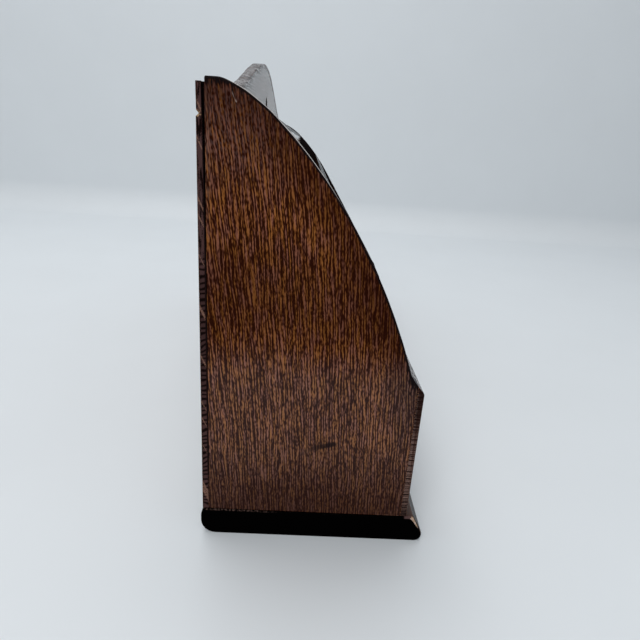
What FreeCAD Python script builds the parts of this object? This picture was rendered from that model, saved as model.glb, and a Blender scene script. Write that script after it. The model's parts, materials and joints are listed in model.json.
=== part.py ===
import FreeCAD, Part
import math
import os

from FreeCAD import Vector

# Desk letter holder in stained oak. Millimetres, +X to the right, -Y to the front, +Z up.
# The origin is on the table under the middle of the base board.

# Carcass
rack_width = 330.0
box_depth = 76.6
side_height = 146.0
side_thickness = 6.0
lap_thickness = 2.5

# Curve of the side panels, from the flat on top down to the front board
side_top_flat = 3.4
curve_start_run_share = 0.19
curve_end_run_share = 0.285
curve_end_rise_share = 0.624

# Front board
front_thickness = 5.0
front_height = 57.5
front_bevel_degrees = 49.0

# Back board and its crest
back_thickness = 5.0
shoulder_drop = 1.3
shoulder_length = 12.0
crest_rise = 25.8
crest_peak_share = 0.315
crest_foot_share = 0.395
hanging_hole_diameter = 8.0
hanging_hole_drop = 20.4

# Dividers, from the rear one to the front one
divider_names = ["rear_divider", "middle_divider", "front_divider"]
divider_thickness = 3.1
rear_divider_drop = 0.6
middle_divider_drop = 0.1
front_divider_rise = 0.5
housing_depth = 2.5
housing_clearance = 0.1

# Base board
base_thickness = 10.8
base_projection = 6.6
base_end_overhang = 0.5
base_rear_overhang = 0.6
base_ledge = 2.6
nose_height = 3.6
nose_radius = 2.6
bevel_softening = 1.2
rear_top_radius = 2.9
rear_bottom_radius = 5.4

# Panel pins through the laps
pin_diameter = 1.2
pin_head_diameter = 2.2
pin_head_height = 0.6
pin_length = 16.0
pin_point = 2.0
back_pin_height_shares = [0.15, 0.4, 0.66, 0.92]
front_pin_height_shares = [0.32, 0.74]

# Wood screws up through the base
screw_diameter = 2.8
screw_head_diameter = 5.4
screw_head_height = 1.5
screw_length = 24.0
screw_point = 4.0
screw_slot_width = 0.8
screw_slot_depth = 0.6
screw_sink = 0.5

# Room around every pin and screw, and how far a cutter runs past what it cuts
fastener_clearance = 0.05
overrun = 5.0

# Places that follow from the sizes above
half_width = rack_width / 2
inner_half_width = half_width - side_thickness
base_depth = base_rear_overhang + box_depth + base_projection
rear_y = base_depth / 2 - base_rear_overhang
front_y = rear_y - box_depth
back_face_y = rear_y - back_thickness
front_face_y = front_y + front_thickness
side_rear_y = rear_y - lap_thickness
side_front_y = front_y + lap_thickness
side_top_z = base_thickness + side_height
front_top_z = base_thickness + front_height
shoulder_z = side_top_z - shoulder_drop
crest_z = shoulder_z + crest_rise
bevel_slope = math.tan(math.radians(front_bevel_degrees))
compartments_room = back_face_y - front_face_y - len(divider_names) * divider_thickness
compartment_depth = compartments_room / (len(divider_names) + 1)


def line(start, end):
    return Part.LineSegment(start, end).toShape()


def bezier(poles):
    curve = Part.BezierCurve()
    curve.setPoles(poles)
    return curve.toShape()


def loop(points):
    """Straight edges through the points and back to the first."""
    following = points[1:] + points[:1]
    return [line(start, end) for start, end in zip(points, following)]


def extruded(edges, travel):
    """Solid swept by a closed outline along a straight travel."""
    outline = Part.Wire(Part.sortEdges(edges)[0])
    return Part.Face(outline).extrude(travel)


def box(low, high):
    size = high - low
    return Part.makeBox(size.x, size.y, size.z, low)


def rounded_loop(corners):
    """Closed outline from pairs of a corner and its radius, with a tangent arc at each."""
    arrivals = []
    departures = []
    edges = []
    for index, (corner, radius) in enumerate(corners):
        to_before = (corners[index - 1][0] - corner).normalize()
        to_after = (corners[(index + 1) % len(corners)][0] - corner).normalize()
        half_angle = to_before.getAngle(to_after) / 2
        setback = radius / math.tan(half_angle)
        to_centre = (to_before + to_after).normalize()
        middle_reach = radius / math.sin(half_angle) - radius
        arrival = corner + to_before * setback
        departure = corner + to_after * setback
        edges.append(Part.Arc(arrival, corner + to_centre * middle_reach, departure).toShape())
        arrivals.append(arrival)
        departures.append(departure)
    for departure, arrival in zip(departures, arrivals[1:] + arrivals[:1]):
        edges.append(line(departure, arrival))
    return edges


def bevel_z(y):
    """Height of the front board's bevelled top, carried on across the sides' lower front corners."""
    return front_top_z - (front_face_y - y) * bevel_slope


def side_outline(x, bottom_z, rise):
    """Edges of a side panel's outline at one place across the width, raised bodily above its foot."""
    lift = Vector(0, 0, rise)
    curve_start = Vector(x, side_rear_y - side_top_flat, side_top_z)
    curve_end = Vector(x, front_face_y, front_top_z)
    run = curve_end.y - curve_start.y
    fall = curve_end.z - curve_start.z
    leave = curve_start + Vector(0, run * curve_start_run_share, 0)
    reach = curve_end - Vector(0, run * curve_end_run_share, fall * curve_end_rise_share)
    top_rear = Vector(x, side_rear_y, side_top_z)
    foot_rear = Vector(x, side_rear_y, bottom_z)
    foot_front = Vector(x, side_front_y, bottom_z)
    top_front = Vector(x, side_front_y, bevel_z(side_front_y))
    return [
        line(foot_rear, top_rear + lift),
        line(top_rear + lift, curve_start + lift),
        bezier([curve_start + lift, leave + lift, reach + lift, curve_end + lift]),
        line(curve_end + lift, top_front + lift),
        line(top_front + lift, foot_front),
        line(foot_front, foot_rear),
    ]


def side_blank(outer_x, inward):
    """A side panel before its housings and screw holes are cut."""
    return extruded(side_outline(outer_x, base_thickness, 0), Vector(inward * side_thickness, 0, 0))


def divider_rear_faces():
    """Rear face of each divider, with all the compartments equally deep."""
    pitch = compartment_depth + divider_thickness
    return [back_face_y - compartment_depth - place * pitch for place in range(len(divider_names))]


def divider(rear_face, rise):
    """A divider whose top follows the curve of the sides, housed in both of them."""
    reach = inner_half_width + housing_depth
    low = Vector(-reach, rear_face - divider_thickness, base_thickness)
    high = Vector(reach, rear_face, side_top_z + overrun)
    under_curve = extruded(side_outline(-reach, 0, rise), Vector(reach + reach, 0, 0))
    return box(low, high).common(under_curve)


def housing(rear_face):
    """Cutter for the groove that takes a divider in both sides, open at the top."""
    reach = inner_half_width + housing_depth + housing_clearance
    low = Vector(-reach, rear_face - divider_thickness - housing_clearance, base_thickness - overrun)
    high = Vector(reach, rear_face + housing_clearance, side_top_z + overrun)
    return box(low, high)


def base_profile(x):
    """Section of the base: bevelled nose at the front, softened edges at the rear."""
    nose_y = front_y - base_projection
    tail_y = rear_y + base_rear_overhang
    return rounded_loop([
        (Vector(x, tail_y, 0), rear_bottom_radius),
        (Vector(x, tail_y, base_thickness), rear_top_radius),
        (Vector(x, front_y - base_ledge, base_thickness), bevel_softening),
        (Vector(x, nose_y, nose_height), bevel_softening),
        (Vector(x, nose_y, 0), nose_radius),
    ])


def base_blank():
    half_length = half_width + base_end_overhang
    return extruded(base_profile(-half_length), Vector(half_length + half_length, 0, 0))


def front_blank():
    """Front board at its full length, before the laps are cut at its ends."""
    x = -half_width
    outline = loop([
        Vector(x, front_y, base_thickness),
        Vector(x, front_y, bevel_z(front_y)),
        Vector(x, front_face_y, front_top_z),
        Vector(x, front_face_y, base_thickness),
    ])
    return extruded(outline, Vector(rack_width, 0, 0))


def crest_half(side):
    """One half of the crest: a smooth ogee from the shoulder up to the middle."""
    length = half_width - shoulder_length
    peak = Vector(0, back_face_y, crest_z)
    foot = Vector(side * length, back_face_y, shoulder_z)
    leave = peak + Vector(side * length * crest_peak_share, 0, 0)
    arrive = foot - Vector(side * length * crest_foot_share, 0, 0)
    return bezier([peak, leave, arrive, foot])


def back_blank():
    """Back board at its full length with its crest and hanging hole, before the laps are cut."""
    y = back_face_y
    length = half_width - shoulder_length
    edges = [
        crest_half(1),
        crest_half(-1),
        line(Vector(length, y, shoulder_z), Vector(half_width, y, shoulder_z)),
        line(Vector(half_width, y, shoulder_z), Vector(half_width, y, base_thickness)),
        line(Vector(half_width, y, base_thickness), Vector(-half_width, y, base_thickness)),
        line(Vector(-half_width, y, base_thickness), Vector(-half_width, y, shoulder_z)),
        line(Vector(-half_width, y, shoulder_z), Vector(-length, y, shoulder_z)),
    ]
    board = extruded(edges, Vector(0, back_thickness, 0))
    mouth = Vector(0, back_face_y - overrun, crest_z - hanging_hole_drop)
    drill_length = back_thickness + overrun + overrun
    return board.cut(Part.makeCylinder(hanging_hole_diameter / 2, drill_length, mouth, Vector(0, 1, 0)))


def pin(head_point, direction, room=0.0):
    """Panel pin with a flat head, driven in from its head point; room makes it the hole for one."""
    radius = pin_diameter / 2 + room
    head_radius = pin_head_diameter / 2 + room
    shank = pin_length - pin_point
    head = Part.makeCylinder(head_radius, pin_head_height + room, head_point, direction)
    body = Part.makeCylinder(radius, shank, head_point, direction)
    point = Part.makeCone(radius, 0, pin_point + room, head_point + direction * shank, direction)
    return head.fuse([body, point]).removeSplitter()


def screw_solid(x, y, room=0.0):
    """Countersunk wood screw pointing up, its head sunk in the base; room makes it the hole."""
    up = Vector(0, 0, 1)
    start = Vector(x, y, screw_sink)
    radius = screw_diameter / 2 + room
    shank = screw_length - screw_point
    head = Part.makeCone(screw_head_diameter / 2 + room, radius, screw_head_height, start, up)
    body = Part.makeCylinder(radius, shank, start, up)
    point = Part.makeCone(radius, 0, screw_point + room, start + up * shank, up)
    return head.fuse([body, point]).removeSplitter()


def screw(x, y):
    """Wood screw with its driving slot."""
    half_head = screw_head_diameter / 2
    half_slot = screw_slot_width / 2
    low = Vector(x - half_head - overrun, y - half_slot, screw_sink - overrun)
    high = Vector(x + half_head + overrun, y + half_slot, screw_sink + screw_slot_depth)
    return screw_solid(x, y).cut(box(low, high))


def screw_hole(x, y):
    """Clearance for a screw and, below its sunk head, for the driver."""
    mouth = Vector(x, y, -overrun)
    radius = screw_head_diameter / 2 + fastener_clearance
    sink = Part.makeCylinder(radius, screw_sink + overrun, mouth, Vector(0, 0, 1))
    return screw_solid(x, y, fastener_clearance).fuse(sink)


def pin_row(y, heights, direction, room=0.0):
    """Pins at the given heights into the middle of both sides' edges."""
    line_x = half_width - side_thickness / 2
    return [pin(Vector(x, y, z), direction, room) for x in (-line_x, line_x) for z in heights]


def build():
    """All the pieces of the letter holder, by name."""
    rises = [-rear_divider_drop, -middle_divider_drop, front_divider_rise]
    rear_faces = divider_rear_faces()
    back_heights = [base_thickness + share * (shoulder_z - base_thickness) for share in back_pin_height_shares]
    front_room = bevel_z(front_y) - base_thickness
    front_heights = [base_thickness + share * front_room for share in front_pin_height_shares]
    forward = Vector(0, -1, 0)
    rearward = Vector(0, 1, 0)
    screw_line = half_width - side_thickness / 2
    screw_rows = [front_face_y + compartment_depth / 2, back_face_y - compartment_depth / 2]
    screw_places = [(x, y) for x in (-screw_line, screw_line) for y in screw_rows]

    pin_holes = pin_row(rear_y, back_heights, forward, fastener_clearance)
    pin_holes += pin_row(front_y, front_heights, rearward, fastener_clearance)
    screw_holes = [screw_hole(x, y) for x, y in screw_places]

    left = side_blank(-half_width, 1)
    right = side_blank(half_width, -1)
    housings = [housing(rear_face) for rear_face in rear_faces]
    pieces = {
        "base_board": base_blank().cut(screw_holes),
        "left_side": left.cut(housings + pin_holes + screw_holes),
        "right_side": right.cut(housings + pin_holes + screw_holes),
        "back_board": back_blank().cut([left, right] + pin_holes),
        "front_board": front_blank().cut([left, right] + pin_holes),
        "back_pins": Part.makeCompound(pin_row(rear_y, back_heights, forward)),
        "front_pins": Part.makeCompound(pin_row(front_y, front_heights, rearward)),
        "base_screws": Part.makeCompound([screw(x, y) for x, y in screw_places]),
    }
    for name, rear_face, rise in zip(divider_names, rear_faces, rises):
        pieces[name] = divider(rear_face, rise)
    return pieces


os.makedirs("parts", exist_ok=True)
for name, shape in build().items():
    shape.exportStep("parts/%s.step" % name)
    print(name, len(shape.Solids), "solid(s)", shape.isValid(), round(shape.Volume), shape.BoundBox)
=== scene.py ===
"""Looks of a desk letter holder in stained oak: its boards, fixings and a plain stage."""

import json
import math
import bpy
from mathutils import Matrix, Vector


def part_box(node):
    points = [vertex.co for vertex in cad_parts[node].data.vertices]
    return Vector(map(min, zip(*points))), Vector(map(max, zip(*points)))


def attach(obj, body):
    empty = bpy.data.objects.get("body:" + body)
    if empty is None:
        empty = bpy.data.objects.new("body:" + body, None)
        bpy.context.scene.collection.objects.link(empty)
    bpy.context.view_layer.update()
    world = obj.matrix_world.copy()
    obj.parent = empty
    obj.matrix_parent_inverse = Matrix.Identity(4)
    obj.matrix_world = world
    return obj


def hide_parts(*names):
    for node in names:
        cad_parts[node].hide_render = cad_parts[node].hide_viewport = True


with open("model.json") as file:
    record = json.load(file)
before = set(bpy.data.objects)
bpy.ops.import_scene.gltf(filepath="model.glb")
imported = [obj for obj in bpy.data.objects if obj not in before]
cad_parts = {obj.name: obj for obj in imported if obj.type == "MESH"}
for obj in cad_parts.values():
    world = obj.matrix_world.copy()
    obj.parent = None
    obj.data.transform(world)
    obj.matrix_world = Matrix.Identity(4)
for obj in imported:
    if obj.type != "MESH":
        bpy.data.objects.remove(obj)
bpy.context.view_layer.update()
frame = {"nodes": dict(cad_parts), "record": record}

from types import SimpleNamespace

import bmesh
import bpy
import numpy as np
from bpy.props import FloatProperty, FloatVectorProperty, PointerProperty
from bpy.types import Operator, Panel, PropertyGroup
from mathutils import Matrix, Vector

bl_info = {
    "name": "Letter Holder",
    "version": (1, 0, 0),
    "blender": (4, 5, 0),
    "location": "3D View > Sidebar > Letter Holder",
    "description": "Builds a stained oak desk letter holder around its frame",
    "category": "Object",
}

BODY = "root"
X, Y, Z = 0, 1, 2
MM = 0.001
# Points on each rounded corner of a section, and on each rounded end of a board
CORNER_POINTS = 5
END_POINTS = 5
# Stations along the back board, the front and base boards, and a divider
BACK_STATIONS = 120
BOARD_STATIONS = 90
DIVIDER_STATIONS = 80
# Half the thickness of the sheer wall between two stations that differ by a step
STEP = 5e-7
MERGE_DISTANCE = 1e-7
# Places that agree to so many digits of a metre are one place
PLACE_DIGITS = 6
SHARP_ANGLE = math.radians(38)
# How far the back board's shoulders lie under the top of the sides
SHOULDER_DROP = 1.3 * MM
HOUSING_CLEARANCE = 0.1 * MM
# Rings of a hole that lie in the board's face: its window, a flat guard and its rim
MOUTH_RINGS = 3
# Half the window round a hole, over the hole's radius
HOLE_WINDOW = 2.2
PIN_WINDOW = 1.6
SCREW_WINDOW = 1.5
# Rows of points across the window of a hole
HOLE_ROWS = 7
PIN_ROWS = 5
# Fixings of one row are farther apart than this
FIXING_GAP = 5 * MM
DIVIDERS = ("rear_divider", "middle_divider", "front_divider")
BOX = {name: np.array(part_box(name)) for name in frame["nodes"]}
HANGING_HOLE = next(mount for mount in frame["record"]["mounts"] if mount["name"] == "hanging_hole")


def mm(*lengths):
    return tuple(MM * value for value in lengths)


def length(name, description, default):
    return FloatProperty(name=name, description=description, default=default, unit="LENGTH", precision=5)


def share(name, description, default):
    return FloatProperty(name=name, description=description, default=default, subtype="FACTOR")


def angle(name, description, degrees):
    return FloatProperty(name=name, description=description, default=math.radians(degrees), subtype="ANGLE")


def power(name, description, default):
    return FloatProperty(name=name, description=description, default=default, unit="POWER")


def colour(name, description, default):
    return FloatVectorProperty(name=name, description=description, default=default, subtype="COLOR")


class BoardShape(PropertyGroup):
    """Sizes of the boards that the frame's boxes don't give."""

    top_flat: length("Top flat", "Level stretch at the rear of a side's top", 3.4 * MM)
    curve_leave: share("Curve start", "Run of the curve's first handle over its whole run", 0.19)
    curve_arrive: share("Curve end", "Run of the curve's last handle over its whole run", 0.285)
    curve_arrive_rise: share("Curve end rise", "Rise of the curve's last handle over its whole fall", 0.624)
    bevel: angle("Front bevel", "Slope of the front board's top", 49)
    shoulder: length("Shoulder", "Level stretch at each end of the back board's top", 12 * MM)
    crest_peak: share("Crest peak", "Run of the crest's handle at its peak over half its width", 0.315)
    crest_foot: share("Crest foot", "Run of the crest's handle at its foot over half its width", 0.395)
    ledge: length("Base ledge", "Level stretch of the base in front of the front board", 2.6 * MM)
    nose_height: length("Nose height", "Upright part of the base's front edge", 3.6 * MM)
    nose_radius: length("Nose radius", "Rounding under the base's front edge", 2.6 * MM)
    bevel_softening: length("Bevel softening", "Rounding at both ends of the base's bevel", 1.2 * MM)
    rear_top_radius: length("Rear top radius", "Rounding on top of the base's rear edge", 2.9 * MM)
    rear_bottom_radius: length("Rear bottom radius", "Rounding under the base's rear edge", 5.4 * MM)
    pin_hole: length("Pin hole", "Radius of the hole round a pin's head", 1.15 * MM)
    screw_hole: length("Screw hole", "Radius of the hole round a screw's head", 2.75 * MM)


class BoardWear(PropertyGroup):
    """How worn and uneven the boards are."""

    side_arris: length("Side arris", "Rounding of the sides' edges", 0.55 * MM)
    board_arris: length("Board arris", "Rounding of the long edges of the other boards", 0.6 * MM)
    end_arris: length("End arris", "Rounding round the ends of the boards", 0.35 * MM)
    unevenness: length("Unevenness", "How far a hand-worked edge wanders", 0.12 * MM)
    stain_line: length("Stain line", "Width of the black line along a side's curved edge", 0.8 * MM)
    stain_band: length("Stain band", "Width of the dark band along that edge", 3.6 * MM)
    stain_reach: length("Stain reach", "How far that band fades into the side", 17 * MM)
    seam_gap: length("Seam gap", "Open seam between the back board and the top of the sides", 0.85 * MM)
    seam_depth: length("Seam depth", "How deep that seam is open from the end of the board", 2.0 * MM)
    chip_height: length("Chip place", "Height of the chip in the back board's left end", 147.2 * MM)
    chip_half: length("Chip half height", "Half the height of that chip", 0.85 * MM)
    chip_depth: length("Chip depth", "Depth of that chip", 0.95 * MM)
    chip_length: length("Chip length", "How far that chip runs along the grain", 9 * MM)
    nose_chip: length("Nose chip", "Wood broken from the left end of the base's bevel", 0.4 * MM)
    nose_chip_length: length("Nose chip length", "How far that break runs along the grain", 0.85 * MM)


class OakFinish(PropertyGroup):
    """Stained and varnished oak."""

    pore_width: length("Pore width", "Size of the pores across the grain", 0.42 * MM)
    pore_length: length("Pore length", "Size of the pores along the grain", 2.1 * MM)
    row_pitch: length("Row pitch", "Distance of the rows of pores across the grain", 1.02 * MM)
    band_width: length("Band width", "Size of the growth bands across the grain", 6 * MM)
    ring_width: length("Ring width", "Size of the ticks that growth rings make on the end grain", 0.6 * MM)
    rung_pitch: length("Rung pitch", "Distance of the dark lines across the back board's end", 1.9 * MM)
    grain_bend: length("Grain bend", "How far the grain wanders sideways", 0.7 * MM)
    left_slope: angle("Left grain slope", "Slope of the grain at the foot of the left side", 2.5)
    right_slope: angle("Right grain slope", "Slope of the grain at the foot of the right side", -5)
    board_slope: angle("Board grain slope", "Slope of the grain on the other boards", 1.5)
    grain_bow: FloatProperty(
        name="Grain bow",
        description="Growth of the grain's slope with height, on the sides, for each metre",
        default=0.26,
    )
    side_varnish: share("Side varnish", "Varnish left on the sides", 0.4)
    board_varnish: share("Board varnish", "Varnish left on the other boards", 0.95)
    amber: colour("Amber", "Clear stained wood", (0.262, 0.085, 0.024))
    honey: colour("Honey", "Palest streaks of stained wood", (0.345, 0.138, 0.050))
    russet: colour("Russet", "Redder stained wood", (0.18, 0.055, 0.017))
    rose: colour("Rose", "Greyer pink streaks", (0.235, 0.091, 0.069))
    gold: colour("Gold", "Yellower streaks", (0.270, 0.096, 0.013))
    # Also the dark colour of painted shade, inside the holes and towards the left side's foot
    pore: colour("Pore", "Stain gathered in the pores", (0.017, 0.0022, 0.0003))
    # Also the near black of the painted shade on the sides' inner faces, inside the holes and in the open
    # seam
    edge: colour("Edge", "Stain gathered along the edges", (0.0055, 0.0035, 0.004))
    end_light: colour("End grain", "Lighter rings of the end grain", (0.185, 0.110, 0.090))
    end_brown: colour("Brown end grain", "Lighter rings on the back board's ends", (0.070, 0.035, 0.033))
    end_dark: colour("Dark end grain", "Darker rings of the end grain", (0.005, 0.0015, 0.0012))
    rubbed: colour("Rubbed wood", "Wood rubbed pale along an edge", (0.23, 0.125, 0.090))
    raw: colour("Raw wood", "Bare wood in chips and breaks", (0.38, 0.25, 0.145))
    scratch: colour("Scratch", "Dirt in an old scratch", (0.009, 0.006, 0.0075))
    scrape: colour("Scrape", "Pale wood in a new scratch", (0.56, 0.42, 0.36))
    # Painted highlight: the pale colour along the upper half of the sides' top arris, where the bright
    # backdrop is reflected
    wear_and_highlight: colour("Worn edge", "Edges worn pale", (0.80, 0.75, 0.71))
    # Painted sheen: grey in the flecks near the top rear of the left side, standing for glints of the
    # varnish
    fleck_sheen: colour("Bloom", "Grey film in the streaks near the top of the left side", (0.085, 0.054, 0.052))


class BaseFinish(PropertyGroup):
    """Ebonised base board."""

    black: colour("Black", "Ebonised wood", (0.0009, 0.0008, 0.0008))
    brown: colour("Brown", "Wood that shows through the black", (0.009, 0.006, 0.005))
    wear_and_highlight: colour("Worn edge", "Brown wood along rubbed edges", (0.105, 0.064, 0.052))
    broken: colour("Broken edge", "Reddish wood beside a chip", (0.12, 0.068, 0.064))


class SteelFinish(PropertyGroup):
    """Pins and screws, dulled with age."""

    bright: colour("Bright", "Bare steel", (0.33, 0.30, 0.27))
    tarnish: colour("Tarnish", "Brown film on the steel", (0.07, 0.045, 0.03))


class StageLook(PropertyGroup):
    """Floor, light and camera."""

    floor: colour("Floor", "Pale floor and backdrop", (0.79, 0.825, 0.85))
    sky: colour("Sky", "Soft light from all round", (0.90, 0.95, 1.0))
    sky_strength: FloatProperty(name="Sky strength", description="Level of that light", default=0.32)
    top_power: power("Top lamp", "Power of the lamp overhead", 9)
    left_power: power("Left lamp", "Power of the lamp by the camera", 8)
    focal_length: FloatProperty(
        name="Focal length",
        description="Lens on a 36 mm sensor",
        default=27.676,
        subtype="DISTANCE_CAMERA",
    )
    camera_distance: length("Camera distance", "From the left side's face to the camera", 150 * MM)
    camera_rearward: length("Camera rearward", "How far the camera stands behind the middle", 8.045 * MM)
    camera_height: length("Camera height", "Camera above the floor", 140.75 * MM)
    camera_pitch: angle("Camera pitch", "How far the camera looks down", 19.494)
    camera_heading: angle("Camera heading", "How far the camera turns to the front", 2.153)
    camera_roll: angle("Camera roll", "How far the camera is tilted", 3.942)


class HolderSettings(PropertyGroup):
    """All the settings of the letter holder."""

    shape: PointerProperty(type=BoardShape)
    wear: PointerProperty(type=BoardWear)
    oak: PointerProperty(type=OakFinish)
    base: PointerProperty(type=BaseFinish)
    steel: PointerProperty(type=SteelFinish)
    stage: PointerProperty(type=StageLook)


# Curves and unevenness


def bezier(poles, count):
    """Points on a cubic curve: four poles weighted by the Bernstein polynomials of an even parameter."""
    t = np.linspace(0, 1, count)[:, None]
    weights = [(1 - t) ** 3, 3 * t * (1 - t) ** 2, 3 * t ** 2 * (1 - t), t ** 3]
    return sum(weight * np.array(pole) for weight, pole in zip(weights, poles))


def wander(places, wavelength, size, seed):
    """Unevenness along a line: the mean of a few sine waves of random length and phase, times a size."""
    waves = 5
    draw = np.random.default_rng(seed)
    lengths = wavelength * draw.uniform(0.5, 2.0, (waves, 1))
    phases = draw.uniform(0, 2 * np.pi, (waves, 1))
    return size * np.sin(2 * np.pi * np.ravel(places) / lengths + phases).mean(axis=0)


def side_curve(shape):
    """Top of a side from front to rear, as points (y, z): bevel, long curve, level flat."""
    points = 300
    low, high = BOX["left_side"]
    front_high = BOX["front_board"][1]
    start = np.array([high[Y] - shape.top_flat, high[Z]])
    end = np.array([front_high[Y], front_high[Z]])
    run, fall = end - start
    leave = start + [run * shape.curve_leave, 0]
    arrive = end - [run * shape.curve_arrive, fall * shape.curve_arrive_rise]
    curve = bezier([end, arrive, leave, start], points)
    bevel_fall = (end[0] - low[Y]) * math.tan(shape.bevel)
    bevel_foot = [low[Y], end[1] - bevel_fall]
    return np.vstack([bevel_foot, curve, high[[Y, Z]]])


def crest_curve(shape):
    """Top of the back board, left to right, as points (x, z): shoulder, two mirrored ogees, shoulder."""
    points = 120
    low, high = BOX["back_board"]
    shoulder_z = BOX["left_side"][1][Z] - SHOULDER_DROP
    reach = high[X] - shape.shoulder
    peak = np.array([0, high[Z]])
    foot = np.array([reach, shoulder_z])
    leave = peak + [reach * shape.crest_peak, 0]
    arrive = foot - [reach * shape.crest_foot, 0]
    half = bezier([peak, leave, arrive, foot], points)
    left = half[:0:-1] * [-1, 1]
    return np.vstack([[low[X], shoulder_z], left, half, [high[X], shoulder_z]])


# Boards as sections carried along a straight line


def directions(vectors):
    return vectors / np.linalg.norm(vectors, axis=-1, keepdims=True)


def plain(across, up):
    """Plain corner of a section."""
    return across, up, 0, 0, 1


def rounded(across, up, before, after=None, points=CORNER_POINTS):
    """Rounded corner of a section, with one reach for both its edges or one for each."""
    return across, up, before, before if after is None else after, points


def section_loops(corners, stations):
    """Closed section at every station of a board, with rounded corners, and each corner's first point.

    A corner is (across, up, reach before, reach after, points). The first four are numbers, or one for each
    station. One point is a plain corner. More follow a rational quadratic curve from the edge before, at
    the first reach, to the edge after, at the second. Its weight is the sine of half the corner's angle,
    which makes equal reaches a true arc. One more point on each side keeps the flats beside it flat.
    """
    guard_share = 0.3
    guard_limit = 0.3 * MM
    spots = np.empty((len(corners), stations, 2))
    for index, corner in enumerate(corners):
        spots[index, :, 0] = corner[0]
        spots[index, :, 1] = corner[1]
    to_before = directions(np.roll(spots, 1, axis=0) - spots)
    to_after = directions(np.roll(spots, -1, axis=0) - spots)
    pieces = []
    firsts = []
    for index, corner in enumerate(corners):
        before, after, points = corner[2:]
        firsts.append(sum(piece.shape[1] for piece in pieces))
        spot = spots[index][:, None]
        if points == 1:
            pieces.append(spot)
            continue
        before = np.broadcast_to(before, stations)[:, None, None]
        after = np.broadcast_to(after, stations)[:, None, None]
        back = to_before[index][:, None]
        ahead = to_after[index][:, None]
        start = spot + back * before
        end = spot + ahead * after
        weight = np.sqrt((1 - np.sum(back * ahead, axis=2, keepdims=True)) / 2)
        t = np.linspace(0, 1, points)[None, :, None]
        blend = [(1 - t) ** 2, 2 * t * (1 - t) * weight, t ** 2]
        arc = (blend[0] * start + blend[1] * spot + blend[2] * end) / sum(blend)
        guard_before = start + back * np.minimum(before * guard_share, guard_limit)
        guard_after = end + ahead * np.minimum(after * guard_share, guard_limit)
        pieces.append(np.concatenate([guard_before, arc, guard_after], axis=1))
    return np.concatenate(pieces, axis=1), np.array(firsts)


def arc_reach(radius, corner, before, after):
    """How far from a corner an arc meets its edges: the radius over the tangent of half the angle."""
    to_before, to_after = directions(np.array([before, after]) - np.array(corner))
    return radius / math.tan(math.acos(np.dot(to_before, to_after)) / 2)


def stepped(places):
    """Two places a hair apart for each one, with a sheer step between them."""
    return np.concatenate([np.ravel(places) - STEP, np.ravel(places) + STEP])


def window_rows(places, half, count):
    """A few rows across the window round every place; places that agree share theirs."""
    return np.ravel(np.unique(np.round(places, PLACE_DIGITS))[:, None] + half * np.linspace(-1, 1, count))


def end_stations(low, high, radius, between):
    """Places along a board and how far its section shrinks there, so that both its ends are rounded over.

    The rounding is a quarter circle: its distance from the end is radius times 1 - cos, the shrinkage is
    radius times 1 - sin. One more station at each end keeps the end's face flat.
    """
    guard = 1.8
    turn = np.linspace(0, math.pi / 2, END_POINTS)
    inward = radius * (1 - np.cos(turn))
    shrink = radius * (1 - np.sin(turn))
    clear = guard * radius
    between = np.concatenate([np.ravel(group) for group in between])
    between = np.unique(np.round(between, 7))
    between = between[(between > low + clear) & (between < high - clear)]
    start = np.concatenate([[low], low + inward, [low + clear]])
    end = np.concatenate([[high - clear], (high - inward)[::-1], [high]])
    shrinks = np.concatenate([[clear], shrink, [0]])
    places = np.concatenate([start, between, end])
    return places, np.concatenate([shrinks, np.zeros(len(between)), shrinks[::-1]])


def shrunk(loops, amounts):
    """Every section drawn in on all sides by its amount, about the middle of its box."""
    low = loops.min(axis=1, keepdims=True)
    high = loops.max(axis=1, keepdims=True)
    middle = (low + high) / 2
    scale = 1 - 2 * amounts[:, None, None] / (high - low)
    return middle + (loops - middle) * scale


def near(values, centre, half):
    """Indices of the values within half of the centre."""
    return np.flatnonzero(np.abs(values - centre) <= half + STEP)


def window_edge(points, stations, rows):
    """Points round a rectangular window of a grid, in order."""
    return np.concatenate([
        points[stations[:-1], rows[0]],
        points[stations[-1], rows[:-1]],
        points[stations[:0:-1], rows[-1]],
        points[stations[0], rows[:0:-1]],
    ])


def bore(edge, centre, axis, inward, rings):
    """Round hole that starts from a window's edge: every edge point is carried along its own angle.

    Each ring is (radius, depth): the angle's cosine and sine times the radius about the centre, and the
    depth from the face along the axis.
    """
    across = [index for index in (X, Y, Z) if index != axis]
    offset = edge[:, across] - np.array(centre)[across]
    turn = np.arctan2(offset[:, 1], offset[:, 0])
    circle = np.stack([np.cos(turn), np.sin(turn)], axis=1)
    rings = np.array(rings)
    points = np.empty((len(rings), len(edge), 3))
    points[..., across] = np.array(centre)[across] + rings[:, :1, None] * circle
    points[..., axis] = edge[:, axis].mean() + inward * rings[:, 1:]
    return np.concatenate([edge[None], points])


def ring_quads(stations, around, first):
    """Faces of a grid that closes on itself the second way, whose points start at an index."""
    row = np.arange(stations - 1)[:, None] * around + first
    place = np.arange(around)[None]
    following = (place + 1) % around
    corners = (row + place, row + following, row + around + following, row + around + place)
    return np.stack(np.broadcast_arrays(*corners), axis=-1)


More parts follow.
